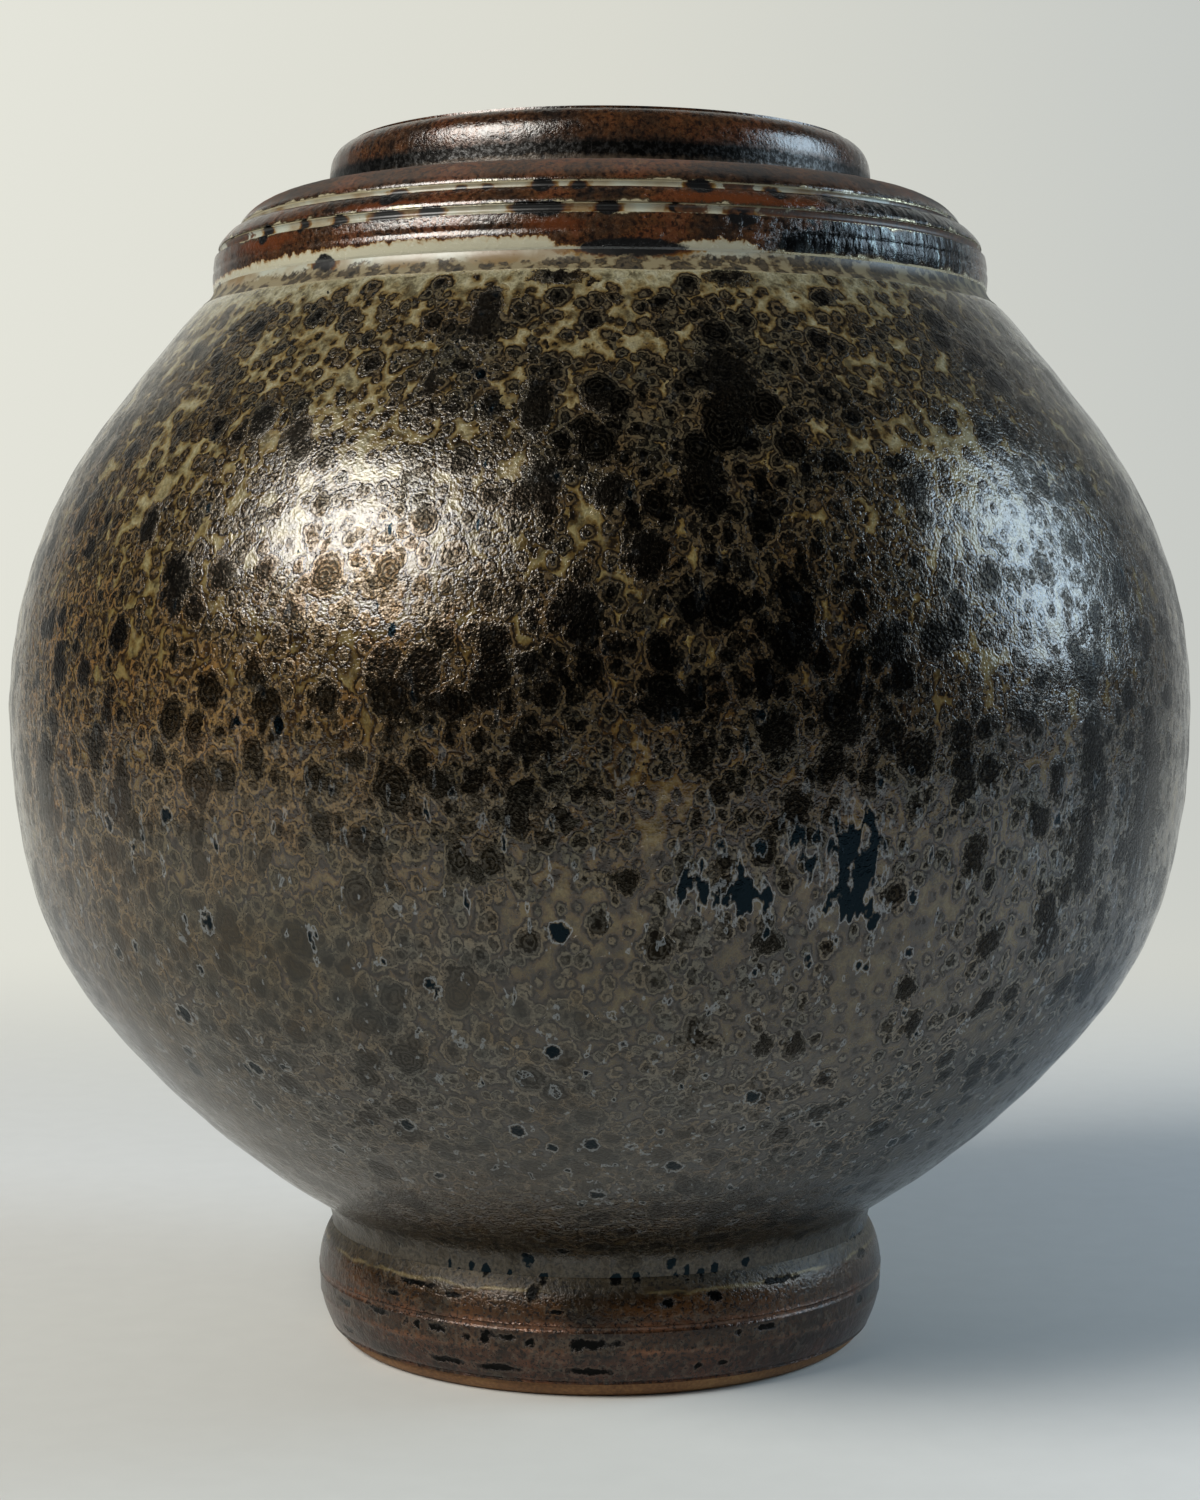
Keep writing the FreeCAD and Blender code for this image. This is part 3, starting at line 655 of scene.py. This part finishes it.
for part, share in ((wobble, 1.8), (wander, 3.0)):
    bare_edge = add(tree, "Math", {0: part, 1: share, 2: bare_edge}, operation="MULTIPLY_ADD")
bare = add(tree, "MapRange", {"Value": bare_edge, "From Min": 0.35, "From Max": 0.15})
halo = add(tree, "MapRange", {"Value": bare_edge, "From Min": 0.75, "From Max": 0.4})
thinned = add(tree, "ValToRGB", {"Fac": add(tree, "Math", {0: cream_line, 1: 0.5}, operation="ADD")},
              stops=[(0.0, "#140e08"), (0.35, "#3a200a"), (0.5, "#7a5420"), (0.62, "#b0a284"),
                     (1.0, "#b4b09a")])
thin = add(tree, "MapRange", {"Value": cream_line, "From Min": -0.5, "From Max": 0.0})
colour = rust
for share, over in ((red, linear("#582c0e")), (on_collar, mottle), (silver, silvery),
                    (halo, linear("#382a18")), (bare, linear("#a39a7e")), (thin, thinned),
                    (dark, linear("#0c0a08"))):
    colour = add(tree, "Mix", {"Factor": share, "A": colour, "B": over}, data_type="RGBA")
wrinkled = add(tree, "Math", {0: silver, 1: standing}, operation="MULTIPLY")
wrinkled = add(tree, "Math", {0: wrinkled, 1: 3.0, 2: speckle}, operation="MULTIPLY_ADD")
bump = add(tree, "Bump", {"Height": wrinkled, "Distance": 0.00009})
ledge = add(tree, "MapRange", {"Value": height, "From Min": 168.4, "From Max": 170.2})
off_collar = add(tree, "Math", {0: 1.0, 1: is_collar}, operation="SUBTRACT")
ledge = add(tree, "Math", {0: ledge, 1: off_collar}, operation="MULTIPLY")
roughness = add(tree, "MapRange", {"Value": speckle, "From Min": 0.35, "From Max": 0.65,
                                   "To Min": 0.1, "To Max": 0.28})
for share, value in ((on_collar, 0.38), (ledge, 0.75)):
    roughness = add(tree, "Mix", {"Factor": share, "A": roughness, "B": value})
metal = add(tree, "MapRange", {"Value": cream_line, "From Min": 0.1, "From Max": 0.4,
                               "To Min": 0.12, "To Max": 0.0})
silver_skin = add(tree, "Math", {0: silver, 1: 0.75}, operation="MULTIPLY")
dark_band = add(tree, "MapRange", {"Value": up_collar, "From Min": 0.16, "From Max": 0.26,
                                   "To Max": 0.9})
grains = add(tree, "MapRange", {"Value": speckle, "From Min": 0.48, "From Max": 0.62,
                                "To Min": 1.0, "To Max": 0.45})
for share in (on_collar, grains):
    dark_band = add(tree, "Math", {0: dark_band, 1: share}, operation="MULTIPLY")
for part in (silver_skin, dark_band):
    metal = add(tree, "Math", {0: metal, 1: part}, operation="MAXIMUM")
surface(tree, Base_Color=colour, Metallic=metal, Roughness=roughness, IOR=1.75, Normal=bump)

for name, node, facing in (("ridge_rust_glaze", "ridge_iron_glaze", (1, 0.3)),
                           ("middle_bead_rust_glaze", "middle_bead_iron_glaze", (1, 0.8)),
                           ("upper_bead_rust_glaze", "upper_bead_iron_glaze", (0.7, 1)),
                           ("collar_rust_glaze", "collar_iron_glaze", (1, 0.4))):
    coat = turned_coat(
        name, node, facing, 480, lambda r, z: 0.3, lambda r, z: 0.6, rust_relief,
        {"cream_below": cream_below, "red": placed(red_rust), "silver": placed(silver_side),
         "drops": placed(groove_drops), "edge": rust_edge})
    coat.data.materials.append(rust_glaze)


# The foot's glaze: the same iron glaze on the turned foot ring, where two fine turned lines stand
# proud and pink-brown, with pits where it bubbled and a bare wiped edge at the bottom.
turned_lines = (10.9, 7.2)
wiped_edge = 2.3
cream_line_height = 16.5


def foot_relief(angle, radius, height, edge):
    """Ripples, the two proud lines, pits, and a lower end that thins towards the wiped edge."""
    level = 0.22 - 0.05 * streak(angle, height, 3, 6, 2)
    for line in turned_lines:
        level = level - 0.11 * np.exp(-((height - line) / 0.35) ** 2)
    level = level + 0.1 * mound(angle, radius, height, foot_pits)
    top = np.clip((height - 15.5) / 1.5, 0, 1)
    level = level * (1 - top) + 0.2 * top
    return np.clip(level + 0.2 * np.clip(1 - (height - wiped_edge) / 0.6, 0, 1), 0, deepest)


foot_glaze = turned_coat(
    "foot_iron_glaze_coat", "foot_iron_glaze", (1, 0.2), 480, lambda r, z: 0.3, lambda r, z: 0.6,
    foot_relief, {"drops": placed(foot_pits)})

# Iron glaze on the foot: grey and pitted on the top roll, amber and olive below a thin cream
# line where it broke, and brown with pink-brown lines on the turned part.
foot_iron, tree, place = finish_named("pitted iron glaze on the foot")
drops = add(tree, "Attribute", attribute_name="drops").outputs["Fac"]
height = add(tree, "SeparateXYZ", {"Vector": place}).outputs["Z"]
ragged = add(tree, "TexNoise", {"Vector": place, "Scale": 1 / 1.3, "Detail": 4, "Roughness": 0.65})
cloud = add(tree, "TexNoise", {"Vector": place, "Scale": 1 / 8, "Detail": 3})
drawn = add(tree, "VectorMath", {0: place, 1: (0.16, 0.16, 1)}, operation="MULTIPLY")
banding = add(tree, "TexNoise", {"Vector": drawn, "Scale": 1 / 1.6, "Detail": 3})
grain = add(tree, "TexNoise", {"Vector": place, "Scale": 1 / 0.6, "Roughness": 0.7})
wobble = add(tree, "Math", {0: ragged, 1: -0.5}, operation="ADD")
uneven = add(tree, "Math", {0: wobble, 1: 1.6, 2: height}, operation="MULTIPLY_ADD")
up_foot = add(tree, "MapRange", {"Value": uneven, "From Min": 2, "From Max": 20})
colour = add(tree, "ValToRGB", {"Fac": up_foot},
             stops=[(0.0, "#6c4e30"), (0.03, "#4c342a"), (0.12, "#463028"), (0.26, "#4c3a32"),
                    (0.29, "#665044"), (0.32, "#44362a"), (0.44, "#3a2c20"), (0.465, "#70584c"),
                    (0.52, "#665044"), (0.54, "#4a3824"), (0.6, "#4e3816"), (0.72, "#463412"),
                    (0.77, "#3c3424"), (0.88, "#4a4232"), (1.0, "#4a4234")])
below_roll = add(tree, "MapRange", {"Value": up_foot, "From Min": 0.85, "From Max": 0.7})
tint = add(tree, "ValToRGB", {"Fac": cloud}, stops=[(0.3, "#8c8c84"), (0.5, "#e0ccb8"), (0.7, "#ffdcb4")])
streaks = add(tree, "MapRange", {"Value": banding, "From Min": 0.3, "From Max": 0.7,
                                 "To Min": 0.6, "To Max": 1.35})
gritty = add(tree, "ValToRGB", {"Fac": grain},
             stops=[(0.38, "#6c6458"), (0.5, "#f4f0e8"), (0.62, "#fff4e0")])
for share, tone in ((below_roll, tint), (1.0, streaks), (1.0, gritty)):
    colour = add(tree, "Mix", {"Factor": share, "A": colour, "B": tone},
                 data_type="RGBA", blend_type="MULTIPLY")
from_line = height
for part, share in ((cloud, 2.0), (wobble, 0.9)):
    from_line = add(tree, "Math", {0: part, 1: share, 2: from_line}, operation="MULTIPLY_ADD")
from_line = add(tree, "Math", {0: from_line, 1: cream_line_height}, operation="SUBTRACT")
from_line = add(tree, "Math", {0: from_line}, operation="ABSOLUTE")
cream_line = add(tree, "MapRange", {"Value": from_line, "From Min": 0.34, "From Max": 0.08})
broken = add(tree, "MapRange", {"Value": banding, "From Min": 0.42, "From Max": 0.54, "To Max": 0.5})
cream_line = add(tree, "Math", {0: cream_line, 1: broken}, operation="MULTIPLY")
drops = add(tree, "Math", {0: wobble, 1: 2.2, 2: drops}, operation="MULTIPLY_ADD")
dark = add(tree, "MapRange", {"Value": drops, "From Min": 0.42, "From Max": 0.66})
# Painted highlight: a faint pale rim round each pit.
painted_rim_highlight = add(tree, "ValToRGB", {"Fac": drops},
              stops=[(0.1, "#000000"), (0.3, "#ffffff"), (0.46, "#000000")])
painted_rim_highlight = add(tree, "Math", {0: painted_rim_highlight, 1: 0.16}, operation="MULTIPLY")
for share, code in ((cream_line, "#8a7a52"), (painted_rim_highlight, "#8a8070"), (dark, "#0a0a09")):
    colour = add(tree, "Mix", {"Factor": share, "A": colour, "B": linear(code)}, data_type="RGBA")
rough_skin = add(tree, "Math", {0: grain, 1: 0.7, 2: ragged}, operation="MULTIPLY_ADD")
rough_skin = add(tree, "Math", {0: rough_skin, 1: dark}, operation="SUBTRACT")
bump = add(tree, "Bump", {"Height": rough_skin, "Strength": 0.6, "Distance": 0.0003})
metal, roughness = [add(tree, "MapRange", {"Value": up_foot, "From Min": 0.7, "From Max": 0.8,
                                           "To Min": low, "To Max": high})
                    for low, high in ((0.28, 0.15), (0.25, 0.5))]
dark_glass = add(tree, "Math", {0: dark, 1: 0.9}, operation="MULTIPLY")
metal = add(tree, "Math", {0: metal, 1: dark_glass}, operation="MAXIMUM")
surface(tree, Base_Color=colour, Metallic=metal, Roughness=roughness, IOR=1.5, Normal=bump)
foot_glaze.data.materials.append(foot_iron)


# The inside liner: a plain brown iron glaze, poured in and out again. It is glossy and even, and
# its brown clouds a little.
liner, tree, place = finish_named("poured brown liner glaze")
cloud = add(tree, "TexNoise", {"Vector": place, "Scale": 1 / 12, "Detail": 4})
colour = add(tree, "ValToRGB", {"Fac": cloud},
             stops=[(0.35, "#1e130c"), (0.6, "#3c2616"), (0.75, "#553620")])
bump = add(tree, "Bump", {"Height": cloud, "Strength": 0.3, "Distance": 0.0005})
surface(tree, Base_Color=colour, Roughness=0.2, IOR=1.6, Normal=bump)
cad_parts["inside_liner_glaze"].data.materials[0] = liner


# The studio: a pale matt table that ends in front of the jar, a pale wall behind it, a window
# on each side, and a dim room. None of it is part of the jar.

# Matt paper shows no highlight and takes a soft shadow. Camera, glossy and transmission rays see
# the wall's middle at its own brightness. To all other rays it is plain paper.
paper, tree, place = finish_named("pale matt paper")
across = add(tree, "SeparateXYZ", {"Vector": place})
sideways, backwards = across.outputs["X"], across.outputs["Y"]
fibre = add(tree, "TexNoise", {"Vector": place, "Scale": 1 / 6, "Detail": 3})
grey = add(tree, "MapRange", {"Value": fibre, "To Min": 0.97, "To Max": 1.03})
# Painted shade: the table is darker towards the front and lighter towards the wall.
painted_front_shade = add(tree, "MapRange", {"Value": backwards, "From Min": -160, "From Max": 110})
tone = add(tree, "ValToRGB", {"Fac": painted_front_shade}, stops=[(0.0, "#d2d4d2"), (0.6, "#dfe0dc"), (1.0, "#eaeae8")])
# Painted light: the table turns lighter and bluer to the right of the jar, over its shadow.
painted_light_right = add(tree, "MapRange", {"Value": sideways, "From Min": 0, "From Max": 160})
tone = add(tree, "Mix", {"Factor": painted_light_right, "A": tone, "B": linear("#eef0f2")}, data_type="RGBA")
colour = add(tree, "Mix", {"Factor": 1.0, "A": tone, "B": grey}, data_type="RGBA", blend_type="MULTIPLY")
matt = add(tree, "BsdfPrincipled", {"Base Color": colour, "Roughness": 0.7})
# Painted light: the wall's glow is lighter and warmer on the left, towards the left window, and darker
# and cooler on the right.
side = add(tree, "MapRange", {"Value": sideways, "From Min": -330, "From Max": 330})
wall = add(tree, "ValToRGB", {"Fac": side}, stops=[(0.0, "#e4e4da"), (0.5, "#dadad0"), (1.0, "#c6c9c5")])
plain = add(tree, "Emission", {"Color": wall})
rays = add(tree, "LightPath").outputs
seen = add(tree, "Math", {0: rays["Is Camera Ray"], 1: rays["Is Glossy Ray"]}, operation="ADD")
seen = add(tree, "Math", {0: seen, 1: rays["Is Transmission Ray"]}, operation="ADD", use_clamp=True)
behind = add(tree, "MapRange", {"Value": backwards, "From Min": 90, "From Max": 450},
             interpolation_type="SMOOTHSTEP")
from_middle = add(tree, "Math", {0: sideways}, operation="ABSOLUTE")
lit = add(tree, "MapRange", {"Value": from_middle, "From Min": 900, "From Max": 460},
          interpolation_type="SMOOTHSTEP")
share = add(tree, "Math", {0: behind, 1: lit}, operation="MULTIPLY")
share = add(tree, "Math", {0: seen, 1: share}, operation="MULTIPLY")
add(tree, "OutputMaterial", {"Surface": add(tree, "MixShader", {0: share, 1: matt, 2: plain})})


def pale_sweep():
    """A table that runs back into a curved sweep and a wall, as one sheet: its line, seen from the
    side, as (y, z) in m."""
    front, bend_start, bend_radius, wall_top, steps = -0.42, 0.55, 0.55, 2.2, 24
    line = [(front, 0.0), (0.0, 0.0), (0.3, 0.0), (bend_start, 0.0)]
    for step in range(1, steps + 1):
        turn = math.radians(90 * step / steps)
        line.append((bend_start + bend_radius * math.sin(turn), bend_radius * (1 - math.cos(turn))))
    line.append((bend_start + bend_radius, wall_top))
    return line


line, half_width = pale_sweep(), 1.7
mesh = bpy.data.meshes.new("pale_sweep")
mesh.from_pydata([(x, y, z) for y, z in line for x in (-half_width, half_width)], [],
                 [(2 * i, 2 * i + 1, 2 * i + 3, 2 * i + 2) for i in range(len(line) - 1)])
mesh.shade_smooth()
mesh.materials.append(paper)
sweep = bpy.data.objects.new("pale_sweep", mesh)
bpy.context.scene.collection.objects.link(sweep)


def window(name, place, facing, wide, high, watts, code):
    """A soft rectangular lamp at a place, turned to face another, its sizes in m."""
    lamp = bpy.data.lights.new(name, "AREA")
    lamp.shape, lamp.size, lamp.size_y, lamp.energy = "RECTANGLE", wide, high, watts
    lamp.color = linear(code)[:3]
    made = bpy.data.objects.new(name, lamp)
    made.location = place
    made.rotation_euler = (Vector(facing) - Vector(place)).to_track_quat("-Z", "Y").to_euler()
    bpy.context.scene.collection.objects.link(made)


window("left_window", (-0.66, -0.52, 0.72), (-0.03, -0.08, 0.12), 0.6, 0.42, 11.8, "#fffcf5")
window("right_window", (0.88, 0.05, 0.45), (0.06, -0.06, 0.12), 0.42, 0.48, 4.8, "#cce4f6")

world = bpy.data.worlds.new("dim room")
bpy.context.scene.world = world
world.use_nodes = True
tree = world.node_tree
tree.nodes.clear()
room = add(tree, "Background", {"Color": linear("#404346")})
add(tree, "OutputWorld", {"Surface": room})

# The camera stands close, 4.7 belly radii from the jar's axis, and looks slightly down.
camera = bpy.data.objects.new("camera", bpy.data.cameras.new("camera"))
camera.data.sensor_width, camera.data.lens, camera.data.clip_start = 36, 64.97, 0.01
camera.location = (0, -0.4165, 0.1123)
downwards = 0.055
camera.rotation_euler = (math.pi / 2 - downwards, 0, 0)
bpy.context.scene.collection.objects.link(camera)
bpy.context.scene.camera = camera

bpy.context.scene.view_settings.view_transform = "Standard"

bpy.context.view_layer.update()
